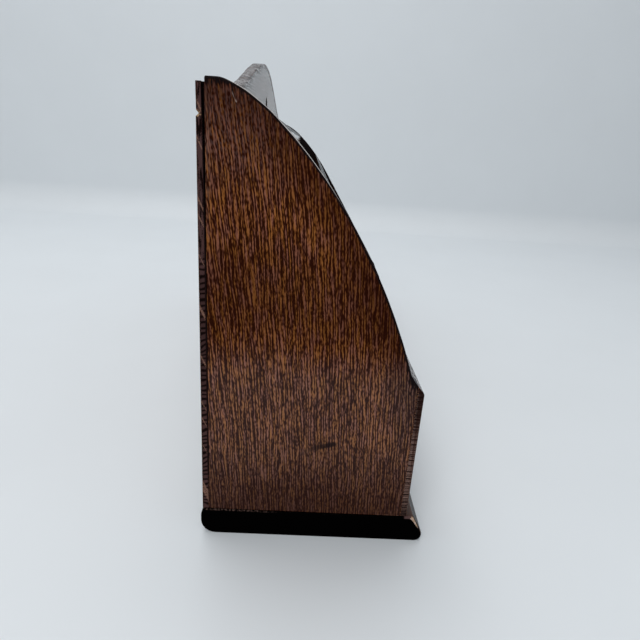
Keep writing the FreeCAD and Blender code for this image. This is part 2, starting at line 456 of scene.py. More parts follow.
class Board:
    """A section carried along an axis: its points, faces and painted marks while it is put together."""

    def __init__(self, places, shrinks, loops, firsts, axis):
        across = [index for index in (X, Y, Z) if index != axis]
        self.points = np.empty(loops.shape[:2] + (3,))
        self.points[..., axis] = places[:, None]
        self.points[..., across] = shrunk(loops, shrinks)
        self.stations, self.around = loops.shape[:2]
        self.shrinks = shrinks
        self.firsts = firsts
        self.keep = np.ones((self.stations - 1, self.around), bool)
        self.marks = {}
        self.bores = []

    def mark(self, name, corners):
        """New mark: a value for each corner of the section, spread over its points and along the board."""
        counts = np.diff(np.append(self.firsts, self.around))
        self.marks[name] = np.repeat(np.repeat(corners, counts)[None], self.stations, axis=0)
        return self.marks[name]

    def mark_ends(self, radius):
        """Mark of the end grain: 1 on the ends and 0 past their rounding."""
        ends = np.clip(self.shrinks / radius, 0, 1)
        self.marks["end_grain"] = np.repeat(ends[:, None], self.around, axis=1)

    def cut(self, stations, rows):
        """Opens a window and gives its edge."""
        self.keep[np.ix_(stations[:-1], np.sort(rows)[:-1])] = False
        return window_edge(self.points, stations, rows)

    def blind_bore(self, stations, rows, centre, axis, inward, rings):
        edge = self.cut(stations, rows)
        self.bores.append((bore(edge, centre, axis, inward, rings), True))

    def through_bore(self, stations, rows, far_rows, centre, axis, inward, rings):
        edge = self.cut(stations, rows)
        far_edge = self.cut(stations, far_rows)
        points = bore(edge, centre, axis, inward, rings)
        self.bores.append((np.concatenate([points, far_edge[None]]), False))

    def hole_shade(self):
        """Painted shade inside the holes: 1 inside them and 0 round their mouths, for every point of every
        ring.
        """
        stains = []
        for points, closed in self.bores:
            ring = np.arange(len(points))
            inside = ring >= MOUTH_RINGS
            if not closed:
                inside &= ring[::-1] >= MOUTH_RINGS
            stains.append(np.repeat(inside, points.shape[1]))
        return np.concatenate(stains)

    def piece(self, name, material, slot):
        """Mesh object of the board, in place of its node in the frame."""
        groups = [self.points.reshape(-1, 3)]
        faces = ring_quads(self.stations, self.around, 0)[self.keep].tolist()
        last = (self.stations - 1) * self.around
        faces.append(list(range(self.around)))
        faces.append(list(range(last, last + self.around)))
        count = len(groups[0])
        for points, closed in self.bores:
            rings, around = points.shape[:2]
            faces += ring_quads(rings, around, count).reshape(-1, 4).tolist()
            count += rings * around
            if closed:
                faces.append(list(range(count - around, count)))
            groups.append(points.reshape(-1, 3))
        mesh = bpy.data.meshes.new(name + "_wood")
        mesh.from_pydata(np.concatenate(groups).tolist(), [], faces)
        for mark, values in self.marks.items():
            layer = mesh.attributes.new(mark, "FLOAT", "POINT")
            painted = np.zeros(count)
            painted[:values.size] = values.ravel()
            # Inside the holes the edge mark is 1, so the material paints them dark: painted shade
            if mark == "edge_stain_and_shade" and self.bores:
                painted[values.size:] = self.hole_shade()
            layer.data.foreach_set("value", painted)
        close_mesh(mesh)
        piece = bpy.data.objects.new(name + "_wood", mesh)
        bpy.context.collection.objects.link(piece)
        mesh.materials.append(material)
        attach(piece, BODY)
        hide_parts(name)
        return piece


def close_mesh(mesh):
    """Joins points that coincide, turns every face outwards and shades all but sharp edges smooth."""
    work = bmesh.new()
    work.from_mesh(mesh)
    bmesh.ops.remove_doubles(work, verts=work.verts, dist=MERGE_DISTANCE)
    bmesh.ops.recalc_face_normals(work, faces=work.faces)
    work.to_mesh(mesh)
    work.free()
    mesh.polygons.foreach_set("use_smooth", np.ones(len(mesh.polygons), bool))
    mesh.set_sharp_from_angle(angle=SHARP_ANGLE)


# The boards


def side_board(name, shape, wear, seed):
    """A side: an upright strip between its two faces, carried from front to rear under the long curve.

    Its inner face steps back at the housings of the dividers.
    """
    foot_reach = 0.25 * MM
    top_wave = 22 * MM
    arris_wave = 12 * MM
    arris_change = 0.4
    steepest = 3.2
    front_stain = 9 * MM
    rear_stain = 14 * MM
    rear_black = 5 * MM
    low, high = BOX[name]
    left = low[X] < 0
    outer, inner = (low[X], high[X]) if left else (high[X], low[X])
    outward = -1 if left else 1
    curve = side_curve(shape)
    walls = np.array([[BOX[divider][0][Y], BOX[divider][1][Y]] for divider in DIVIDERS])
    walls += np.array([-1, 1]) * HOUSING_CLEARANCE
    places, shrinks = end_stations(low[Y], high[Y], wear.end_arris, [curve[::3, 0], stepped(walls)])
    top = np.interp(places, curve[:, 0], curve[:, 1])
    top = top + wander(top + places, top_wave, wear.unevenness, seed)
    slope = np.interp(places, curve[:, 0], np.gradient(curve[:, 1], curve[:, 0]))
    steep = np.sqrt(1 + np.minimum(slope, steepest) ** 2)
    housed = ((places[:, None] > walls[:, 0]) & (places[:, None] < walls[:, 1])).any(axis=1)
    housing_depth = abs(BOX[DIVIDERS[0]][0][X]) - abs(inner) + HOUSING_CLEARANCE
    inner_x = inner + outward * housing_depth * housed
    arris = wear.side_arris + wander(places, arris_wave, wear.side_arris * arris_change, seed + 1)
    widths = enumerate([wear.stain_reach, wear.stain_band, wear.stain_line])
    stain_rows = [np.maximum(top - width * steep, low[Z] + (row + 1) * MM) for row, width in widths]
    corners = [
        rounded(outer, low[Z], foot_reach),
        *[plain(outer, row) for row in stain_rows],
        rounded(outer, top, arris * steep, arris),
        rounded(inner_x, top, arris, arris * steep),
        *[plain(inner_x, row) for row in reversed(stain_rows)],
        rounded(inner_x, low[Z], foot_reach),
    ]
    loops, firsts = section_loops(corners, len(places))
    board = Board(places, shrinks, loops, firsts, Y)
    rows = len(stain_rows) + 1
    face = [0.0] * rows
    stain = board.mark("edge_stain_and_shade", [*face, 1.0, 1.0, *face])
    board.mark("end_grain", [*face, 0.5, 0.5, *face])
    # Painted shade: 1 over the whole inner face, which the material paints near black
    board.mark("painted_inner_shade", [*face, 0.0, 1.0, *np.ones(rows)])
    wear_and_highlight = board.mark("painted_arris_highlight", np.zeros(len(corners)))
    stops = [low[Y], low[Y] + front_stain, high[Y] - rear_stain, high[Y] - rear_black]
    ends = np.interp(places, stops, [1, 0, 0, 1])
    # Stain of the dark band and of the black line, midway and at the ends of the curve
    for row, midway, at_ends in [(2, 0.26, 0.28), (3, 0.45, 0.82)]:
        mirrored = len(corners) - 1 - row
        stain[:, firsts[[row, mirrored]]] = (midway + (at_ends - midway) * ends)[:, None]
    # Painted highlight: 1 on the upper half of the outer and the inner top arris
    first, last = firsts[[rows, rows + 1]]
    wear_and_highlight[:, first + 4:first + 6] = 1
    wear_and_highlight[:, last + 1:last + 3] = 1
    return board


def head_places(name, axes, face_y=None):
    """Middles of a node's fixings across two axes, read from the frame, or of what lies in one face alone.

    Points belong to one fixing where no wide gap parts them along either axis.
    """
    points = np.array([vertex.co for vertex in frame["nodes"][name].data.vertices])
    if face_y is not None:
        points = points[np.abs(points[:, Y] - face_y) < STEP * 10]
    points = points[:, axes]
    order = np.argsort(points, axis=0)
    gaps = np.diff(np.take_along_axis(points, order, axis=0), axis=0, prepend=points.min(axis=0)[None])
    keys = np.empty(points.shape, int)
    np.put_along_axis(keys, order, np.cumsum(gaps > FIXING_GAP, axis=0), axis=0)
    groups = [points[(keys == key).all(axis=1)] for key in np.unique(keys, axis=0)]
    return np.array([(group.min(axis=0) + group.max(axis=0)) / 2 for group in groups])


def back_board(shape, wear, seed):
    """The back board: an upright section carried from left to right under the ogee crest.

    Its inner face steps back to a thin lap over each side, and rows of points wait for its holes and chip.
    """
    top_wave = 25 * MM
    foot_reach = 0.3 * MM
    round_over = 0.3 * MM
    crest_stain = 0.52
    seam_arris = 0.3
    torn_gain = 1.6
    chip_stations = 12
    chip_row_count = 7
    low, high = BOX["back_board"]
    lap_x = BOX["right_side"][0][X]
    lap_y = BOX["right_side"][1][Y]
    seam_x = high[X] - wear.seam_depth
    curve = crest_curve(shape)
    hole_centre = np.array(HANGING_HOLE["pos_m"])
    hole_radius = HANGING_HOLE["dims"]["r_mm"] * MM
    hole_window = HOLE_WINDOW * hole_radius
    pin_window = PIN_WINDOW * shape.pin_hole
    pins = head_places("back_pins", [X, Z], high[Y])
    between = [
        np.linspace(low[X], high[X], BACK_STATIONS),
        window_rows([0.0], hole_window, HOLE_ROWS),
        stepped([-lap_x, lap_x, -seam_x, seam_x]),
        window_rows(pins[:, 0], pin_window, PIN_ROWS),
        low[X] + wear.chip_length * np.linspace(0, 1, chip_stations),
    ]
    places, shrinks = end_stations(low[X], high[X], wear.end_arris, between)
    top = np.interp(places, curve[:, 0], curve[:, 1])
    top = top + wander(places, top_wave, wear.unevenness, seed)
    shoulder_height = curve[0, 1] - low[Z]
    pin_rows = (window_rows(pins[:, 1], pin_window, PIN_ROWS) - low[Z]) / shoulder_height
    chip_rows = wear.chip_height + wear.chip_half * np.linspace(-1, 1, chip_row_count)
    hole_rows = (window_rows([hole_centre[Z]], hole_window, HOLE_ROWS) - low[Z]) / (high[Z] - low[Z])
    rows = np.concatenate([pin_rows, (chip_rows - low[Z]) / shoulder_height, hole_rows])
    rows = np.unique(np.round(rows, PLACE_DIGITS))
    count = len(rows)
    row_z = low[Z] + rows * (top - low[Z])[:, None]
    inner_y = np.where(np.abs(places) > lap_x, lap_y, low[Y])
    open_seam = np.abs(places) > seam_x
    gap = np.where(open_seam, wear.seam_gap, 0)
    taper = np.clip(1 - (places - low[X]) / wear.chip_length, 0, 1)[:, None] ** 0.6
    notch = np.clip(1 - np.abs(row_z - wear.chip_height) / wear.chip_half, 0, 1)
    bite = wear.chip_depth * taper * notch ** 0.8
    arris = np.where(open_seam, seam_arris, 1) * board_arris(places, wear, seed + 1)
    opening = rows ** 5
    corners = [
        rounded(high[Y], low[Z], foot_reach),
        *[plain(high[Y] - bite[:, row], row_z[:, row]) for row in range(count)],
        rounded(high[Y], top, arris),
        rounded(inner_y + gap, top, arris),
        *[plain(inner_y + gap * opening[row], row_z[:, row]) for row in reversed(range(count))],
        rounded(inner_y, low[Z], foot_reach),
    ]
    loops, firsts = section_loops(corners, len(places))
    board = Board(places, shrinks, loops, firsts, X)
    rear_row = firsts[1:1 + count]
    inner_row = firsts[3 + count:3 + 2 * count][::-1]
    board.mark_ends(wear.end_arris)
    torn = board.mark("raw_wood", np.zeros(len(corners)))
    torn[1:, rear_row] = np.clip(torn_gain * bite[1:] / wear.chip_depth, 0, 1)
    face = [0.0] * (count + 1)
    stain = board.mark("edge_stain_and_shade", [*face, crest_stain, crest_stain, *face])
    stain[[0, -1]] = 0
    # Painted shade in the open seam: the lap's inner face and its top rounding there get the full edge
    # mark, which paints them near black
    seam = np.flatnonzero(np.abs(places) > seam_x - 3 * STEP)[1:-1, None]
    stain[seam, inner_row] = 1
    stain[seam, firsts[2 + count] + np.arange(CORNER_POINTS + 2)] = 1
    middle = near(places, 0, hole_window)
    hole = near(rows, hole_rows.mean(), np.ptp(hole_rows) / 2)
    thickness = high[Y] - low[Y]
    halfway = 0.3 * round_over
    rim = [(2 * round_over, 0), (round_over, 0), (halfway, halfway), (0, round_over)]
    rings = [(hole_radius + wider, depth) for wider, depth in rim]
    rings += [(radius, thickness - depth) for radius, depth in reversed(rings)]
    board.through_bore(middle, rear_row[hole], inner_row[hole], hole_centre, Y, -1, rings)
    bore_pins(board, places, row_z[0], rear_row, pins, pin_window, shape.pin_hole, -1)
    return board


def board_arris(places, wear, seed):
    """Rounding of a board's long edges, uneven along the board."""
    wave = 14 * MM
    change = 0.35
    return wear.board_arris + wander(places, wave, wear.board_arris * change, seed)


def blind_rings(radius, soften, depth):
    """Rings of a shallow hole: two in the face, a softened rim and the foot of its wall."""
    return [(radius + 2 * soften, 0), (radius + soften, 0), (radius, soften), (radius, depth)]


def bore_pins(board, places, heights, rows, pins, window, radius, inward):
    """Shallow holes for the pin heads in a board's outer face."""
    soften = 0.08 * MM
    depth = 0.8 * MM
    rings = blind_rings(radius, soften, depth)
    for x, z in pins:
        level = rows[near(heights, z, window)]
        board.blind_bore(near(places, x, window), level, (x, 0, z), Y, inward, rings)


def front_board(shape, wear, seed):
    """The front board: a section with a bevelled top carried from left to right, with a lap at each end."""
    top_wave = 30 * MM
    foot_reach = 0.3 * MM
    stain_width = 2.2 * MM
    top_stain = 0.6
    low, high = BOX["front_board"]
    lap_x = BOX["right_side"][0][X]
    lap_y = BOX["right_side"][0][Y]
    pins = head_places("front_pins", [X, Z], low[Y])
    pin_window = PIN_WINDOW * shape.pin_hole
    between = [
        np.linspace(low[X], high[X], BOARD_STATIONS),
        stepped([-lap_x, lap_x]),
        window_rows(pins[:, 0], pin_window, PIN_ROWS),
    ]
    places, shrinks = end_stations(low[X], high[X], wear.end_arris, between)
    uneven = wander(places, top_wave, wear.unevenness, seed)
    inner_y = np.where(np.abs(places) > lap_x, lap_y, high[Y])
    slope = math.tan(shape.bevel)
    inner_top = high[Z] - (high[Y] - inner_y) * slope + uneven
    outer_top = high[Z] - (high[Y] - low[Y]) * slope + uneven
    arris = board_arris(places, wear, seed + 1)
    rows = window_rows(pins[:, 1], pin_window, PIN_ROWS)
    corners = [
        rounded(low[Y], low[Z], foot_reach),
        *[plain(low[Y], row) for row in rows],
        rounded(low[Y], outer_top, arris),
        rounded(inner_y, inner_top, arris),
        plain(inner_y, inner_top - stain_width),
        rounded(inner_y, low[Z], foot_reach),
    ]
    loops, firsts = section_loops(corners, len(places))
    board = Board(places, shrinks, loops, firsts, X)
    board.mark_ends(wear.end_arris)
    board.mark("edge_stain_and_shade", [0.0] * (len(rows) + 1) + [top_stain, top_stain, 0.0, 0.0])
    bore_pins(board, places, rows, firsts[1:1 + len(rows)], pins, pin_window, shape.pin_hole, 1)
    return board


def divider_board(name, shape, wear, seed):
    """A divider: an upright section whose top follows the sides' curve, carried from housing to housing."""
    top_wave = 40 * MM
    arris_wave = 18 * MM
    arris_change = 0.3
    arris_share = 0.8
    foot_reach = 0.2 * MM
    stain_width = 1.6 * MM
    low, high = BOX[name]
    curve = side_curve(shape)
    front_top, rear_top = np.interp([low[Y], high[Y]], curve[:, 0], curve[:, 1])
    rise = high[Z] - rear_top
    between = [np.linspace(low[X], high[X], DIVIDER_STATIONS)]
    places, shrinks = end_stations(low[X], high[X], wear.end_arris, between)
    uneven = wander(places, top_wave, wear.unevenness, seed)
    arris = wander(places, arris_wave, wear.board_arris * arris_change, seed + 1)
    arris = arris_share * wear.board_arris + arris
    front_top = front_top + rise + uneven
    rear_top = rear_top + rise + uneven
    corners = [
        rounded(low[Y], low[Z], foot_reach),
        plain(low[Y], front_top - stain_width),
        rounded(low[Y], front_top, arris),
        rounded(high[Y], rear_top, arris),
        plain(high[Y], rear_top - stain_width),
        rounded(high[Y], low[Z], foot_reach),
    ]
    loops, firsts = section_loops(corners, len(places))
    board = Board(places, shrinks, loops, firsts, X)
    board.mark_ends(wear.end_arris)
    board.mark("edge_stain_and_shade", [0.0, 0.0, 1.0, 1.0, 0.0, 0.0])
    return board


def base_board(shape, wear, seed):
    """The base: a section with a bevelled and rounded nose carried from left to right, chipped at one end.

    The chip bites into the bevel at right angles, ever less along the grain and towards the nose.
    """
    bevel_shares = (0.25, 0.5, 0.75)
    edge_wear = [0.2, 0.7, 0.95, 0.64, 0.56, 0.64, 0.9, 0.3]
    hole_soften = 0.15 * MM
    hole_depth = 2 * MM
    chip_stations = 10
    chip_reach = 1.5
    ragged_wave = 5
    ragged_middle = 0.75
    ragged_change = 0.5
    ragged_least = 0.2
    chip_fade = (3, -2.8)
    torn_gain = 2.5
    low, high = BOX["base_board"]
    screws = head_places("base_screws", [X, Y])
    screw_window = SCREW_WINDOW * shape.screw_hole
    between = [
        np.linspace(low[X], high[X], BOARD_STATIONS),
        window_rows(screws[:, 0], screw_window, HOLE_ROWS),
        low[X] + wear.nose_chip_length * np.linspace(0, chip_reach, chip_stations),
    ]
    places, shrinks = end_stations(low[X], high[X], wear.end_arris, between)
    rows = window_rows(screws[:, 1], screw_window, HOLE_ROWS)
    ledge_end = np.array([BOX["front_board"][0][Y] - shape.ledge, high[Z]])
    nose_top = np.array([low[Y], low[Z] + shape.nose_height])
    outline = [
        ((high[Y], low[Z]), shape.rear_bottom_radius),
        ((high[Y], high[Z]), shape.rear_top_radius),
        (ledge_end, shape.bevel_softening),
        (nose_top, shape.bevel_softening),
        ((low[Y], low[Z]), shape.nose_radius),
    ]
    corners = []
    for index, (corner, radius) in enumerate(outline):
        following = outline[(index + 1) % len(outline)][0]
        reach = arc_reach(radius, corner, outline[index - 1][0], following)
        corners.append(rounded(*corner, reach, points=CORNER_POINTS + 2))
    corners[3:3] = [plain(*(ledge_end * (1 - place) + nose_top * place)) for place in bevel_shares]
    corners += [plain(row, low[Z]) for row in rows]
    loops, firsts = section_loops(corners, len(places))
    bevel_points = np.arange(firsts[2] + 2, firsts[7])
    fade = np.clip(1 - (places - low[X]) / wear.nose_chip_length, 0, 1)
    ragged = ragged_middle + wander(np.arange(len(bevel_points)), ragged_wave, ragged_change, seed)
    ragged = np.clip(ragged, ragged_least, 1) * np.clip(np.linspace(*chip_fade, len(bevel_points)), 0, 1)
    bite = wear.nose_chip * fade[:, None] * ragged
    down_bevel = directions(nose_top - ledge_end)
    into_wood = np.array([-down_bevel[1], down_bevel[0]])
    loops[:, bevel_points] += bite[:, :, None] * into_wood
    board = Board(places, shrinks, loops, firsts, X)
    board.mark_ends(wear.end_arris)
    torn = board.mark("raw_wood", np.zeros(len(corners)))
    torn[1:, bevel_points] = np.clip(torn_gain * bite[1:] / wear.nose_chip, 0, 1)
    board.mark("edge_wear", edge_wear + [0.0] * len(rows))
    rings = blind_rings(shape.screw_hole, hole_soften, hole_depth)
    foot_row = firsts[len(edge_wear):]
    for x, y in screws:
        beside = near(places, x, screw_window)
        beside = beside[shrinks[beside] == 0]
        board.blind_bore(beside, foot_row[near(rows, y, screw_window)], (x, y, 0), Z, 1, rings)
    return board


# Materials


class Socket:
    """A node's output; arithmetic on it adds Math nodes."""

    def __init__(self, sheet, socket):
        self.sheet = sheet
        self.socket = socket

    def math(self, operation, first, second=0.0):
        return self.sheet.node("ShaderNodeMath", {"operation": operation}, {0: first, 1: second})

    def __add__(self, other):
        return self.math("ADD", self, other)

    def __radd__(self, other):
        return self.math("ADD", other, self)

    def __sub__(self, other):
        return self.math("SUBTRACT", self, other)

    def __rsub__(self, other):
        return self.math("SUBTRACT", other, self)

    def __mul__(self, other):
        return self.math("MULTIPLY", self, other)

    def __rmul__(self, other):
        return self.math("MULTIPLY", other, self)

    def __truediv__(self, other):
        return self.math("DIVIDE", self, other)

    def __abs__(self):
        return self.math("ABSOLUTE", self)

    def least(self, other):
        return self.math("MINIMUM", self, other)

    def most(self, other):
        return self.math("MAXIMUM", self, other)

    def rise(self, low, high):
        """Smooth step from 0 at low to 1 at high; a low above high gives a falling step."""
        if low > high:
            return 1 - self.rise(high, low)
        settings = {"interpolation_type": "SMOOTHSTEP", "clamp": True}
        sockets = {"Value": self, "From Min": low, "From Max": high}
        return self.sheet.node("ShaderNodeMapRange", settings, sockets)

    def wave(self):
        """Sine of so many whole turns."""
        return self.math("SINE", self * (2 * math.pi))


class Sheet:
    """Node tree of one material, with the place of a point in its object."""

    def __init__(self, name):
        self.material = bpy.data.materials.new(name)
        self.material.use_nodes = True
        self.tree = self.material.node_tree
        self.tree.nodes.clear()
        self.place = self.node("ShaderNodeTexCoord", {}, {}, "Object")

    def node(self, kind, settings, sockets, output=0):
        """Any node: its type, its settings, then the values or links of its sockets."""
        made = self.tree.nodes.new(kind)
        for key, value in settings.items():
            setattr(made, key, value)
        for key, value in sockets.items():
            if isinstance(value, Socket):
                self.tree.links.new(value.socket, made.inputs[key])
            else:
                made.inputs[key].default_value = value
        return Socket(self, made.outputs[output])

    def vector(self, operation, first, second):
        return self.node("ShaderNodeVectorMath", {"operation": operation}, {0: first, 1: second})

    def scaled(self, vector, factor):
        return self.node("ShaderNodeVectorMath", {"operation": "SCALE"}, {0: vector, "Scale": factor})

    def dot(self, first, second):
        settings = {"operation": "DOT_PRODUCT"}
        return self.node("ShaderNodeVectorMath", settings, {0: first, 1: second}, "Value")

    def size(self, vector):
        return self.node("ShaderNodeVectorMath", {"operation": "LENGTH"}, {0: vector}, "Value")

    def axis(self, index):
        """Place along one axis."""
        return self.dot(self.place, tuple(np.eye(3)[index]))

    def mix(self, factor, first, second):
        """Blend of two colours."""
        first = first if isinstance(first, Socket) else (*first, 1)
        second = second if isinstance(second, Socket) else (*second, 1)
        return self.node("ShaderNodeMix", {"data_type": "RGBA"}, {"Factor": factor, 6: first, 7: second}, 2)

    def noise(self, place, sizes, detail=1.0, roughness=0.5, output="Fac"):
        """Noise with a size along each axis; it doesn't change along an axis whose size is endless."""
        place = self.vector("MULTIPLY", place, tuple(1 / size for size in sizes))
        sockets = {"Vector": place, "Scale": 1.0, "Detail": detail, "Roughness": roughness}
        return self.node("ShaderNodeTexNoise", {}, sockets, output)

    def line_noise(self, along, detail):
        """Noise along one line."""
        settings = {"noise_dimensions": "1D"}
        return self.node("ShaderNodeTexNoise", settings, {"W": along, "Scale": 1.0, "Detail": detail})

    def mark(self, name):
        """Painted mark of the mesh, by name."""
        return self.node("ShaderNodeAttribute", {"attribute_name": name}, {}, "Fac")

    def surface(self, varying, fixed, height, depth):
        """Principled surface with its varying inputs, its constants and a bump of the given depth."""
        bump = self.node("ShaderNodeBump", {}, {"Height": height, "Strength": 1.0, "Distance": depth})
        shader = self.node("ShaderNodeBsdfPrincipled", {}, {**varying, **fixed, "Normal": bump})
        target = self.tree.nodes.new("ShaderNodeOutputMaterial")
        self.tree.links.new(shader.socket, target.inputs["Surface"])
        return self.material


class Looks(SimpleNamespace):
    """Wood of one board while its looks are worked out: patterns, colour, varnish and ends."""

    def paint(self, factor, colour):
        """Blends a colour over the wood."""
        self.wood = self.sheet.mix(factor, self.wood, colour)


def stretch(grain, along, across):
    """Sizes of a pattern along one axis and across it."""
    sizes = [across] * 3
    sizes[grain] = along
    return tuple(sizes)


def segment_mark(sheet, start, end, width):
    """1 along a short straight scratch in the upright plane through Y and Z, fading over its width."""
    run = np.array(end) - np.array(start)
    across = sheet.vector("SUBTRACT", sheet.place, (0, *start))
    across = sheet.vector("MULTIPLY", across, (0, 1, 1))
    reach = sheet.dot(across, tuple(np.array([0, *run]) / np.dot(run, run)))
    foot = sheet.scaled((0, *run), reach.most(0).least(1))
    return sheet.size(sheet.vector("SUBTRACT", across, foot)).rise(width, 0.3 * width)


def oak_material(node, settings, grain, slope, shift, varnish, extra=None):
    """Stained oak: dark spindle-shaped pores along the grain, streaks, bands, clouds and ringed ends.

    The slope shears the grain across the board.
    """
    sway_sizes = stretch(grain, 45 * MM, 14 * MM)
    cloud_sizes = stretch(grain, 60 * MM, 26 * MM)
    lean_size = 14 * MM
    bump_depth = 0.006 * MM
    finish = settings.oak
    low, high = BOX[node]
    across_grain = [axis for axis in (X, Y, Z) if axis != grain]
    thin, wide = sorted(across_grain, key=lambda axis: high[axis] - low[axis])
    unit = np.eye(3)
    sheet = Sheet(node + "_oak")
    along = sheet.axis(grain)
    bow = finish.grain_bow if grain == Z else 0.0
    sheared = sheet.scaled(tuple(-unit[wide]), along * (math.tan(slope) + bow * along))
    moved = sheet.vector("ADD", sheet.vector("ADD", sheet.place, sheared), shift)
    sway = sheet.noise(moved, sway_sizes, 2.0, 0.5, "Color")
    sway = sheet.vector("SUBTRACT", sway, (0.5, 0.5, 0.5))
    bend = stretch(grain, 0.0, finish.grain_bend * 2)
    bent = sheet.vector("ADD", moved, sheet.vector("MULTIPLY", sway, bend))
    across = sheet.dot(bent, tuple(unit[wide]))
    width = finish.pore_width
    run = finish.pore_length

    def pattern(along, across, detail=0.0):
        return sheet.noise(bent, stretch(grain, along, across), detail)

    streaks = pattern(run, width)
    fibres = pattern(4.5 * run, width)
    flecks = pattern(0.5 * run, 0.8 * width)
    drift = pattern(9.0 * run, 5.0 * width, 1.0)
    breaks = pattern(1.8 * run, 2.5 * width).rise(0.36, 0.62)
    rows = 0.5 + (0.25 + 0.45 * breaks) * (across / finish.row_pitch + 2.5 * drift).wave()
    bands = pattern(14 * run, finish.band_width, 2.0)
    cloud = sheet.noise(moved, cloud_sizes, 2.0, 0.55)
    figure = 0.32 * rows + 0.5 * streaks + 0.18 * fibres + 0.46 * flecks + 0.22 * (bands - 0.5)
    dark = figure.rise(0.99, 0.60)
    tint = pattern(3.5 * run, 2.4 * width)
    looks = Looks(sheet=sheet, settings=settings, cloud=cloud, streaks=streaks, flecks=flecks, dark=dark)
    looks.wood = sheet.mix(0.2 + 0.6 * cloud.rise(0.35, 0.65), finish.russet, finish.amber)
    looks.paint(0.5 * figure.rise(0.75, 1.0), finish.honey)
    looks.paint(0.6 * tint.rise(0.48, 0.66), finish.rose)
    looks.paint(0.5 * tint.rise(0.48, 0.30), finish.gold)
    looks.paint(0.97 * dark, finish.pore)
    looks.height = 1 - 0.7 * dark
    looks.coat = varnish * (0.93 + 0.3 * cloud - 0.3 * dark)
    looks.gloss = 0.17
    looks.rough = 0.32 + 0.1 * dark
    # Strength of the painted highlight on the sides' top arris
    looks.wear_and_highlight = 0.3
    looks.bare = 0.0
    looks.end_light = finish.end_light
    looks.end_pale = 1.0
    looks.end_ticks = None
    if extra:
        extra(looks)

    middle = (low[thin] + high[thin]) / 2
    lean = (sheet.axis(thin) - middle) * (sheet.noise(moved, stretch(wide, lean_size, math.inf)) - 0.5)
    rings = sheet.line_noise((across + lean) / finish.ring_width, 1.0)
    ticks = looks.end_ticks or (0.8 * rings + 0.2 * flecks).rise(0.40, 0.60)
    end_wood = sheet.mix(ticks * looks.end_pale, finish.end_dark, looks.end_light)
    end = sheet.mark("end_grain")
    edge = sheet.mark("edge_stain_and_shade")
    smudge = (edge - 0.9 * (streaks - 0.5) - 0.4 * (cloud - 0.5)).rise(0.46, 0.88)
    torn = (sheet.mark("raw_wood") * (0.6 + 0.8 * streaks)).rise(0.2, 0.5)
    looks.paint(end * (1 - looks.bare), end_wood)
    # The edge mark is stain along the edges; inside the holes and the open seam it is 1, and these paints
    # put painted shade there
    looks.paint(0.55 * edge.rise(0.0, 0.3), finish.pore)
    # Painted shade: the sides' inner faces near black, as if in deep shadow
    looks.paint(0.96 * sheet.mark("painted_inner_shade"), finish.edge)
    looks.paint(0.95 * smudge, finish.edge)
    # Painted highlight along the sides' top arris
    looks.paint(sheet.mark("painted_arris_highlight") * looks.wear_and_highlight * (0.5 + cloud).least(1), finish.wear_and_highlight)
    looks.paint(torn, finish.raw)
    varying = {
        "Base Color": looks.wood,
        "Roughness": looks.rough - 0.06 * edge.rise(0.7, 1.0) + 0.3 * torn,
        "Coat Weight": looks.coat * (1 - end) * (1 - torn) * (1 - 0.9 * smudge),
    }
    fixed = {"Specular IOR Level": 0.02, "Coat Roughness": looks.gloss, "Coat IOR": 1.45}
    return sheet.surface(varying, fixed, looks.height, bump_depth)


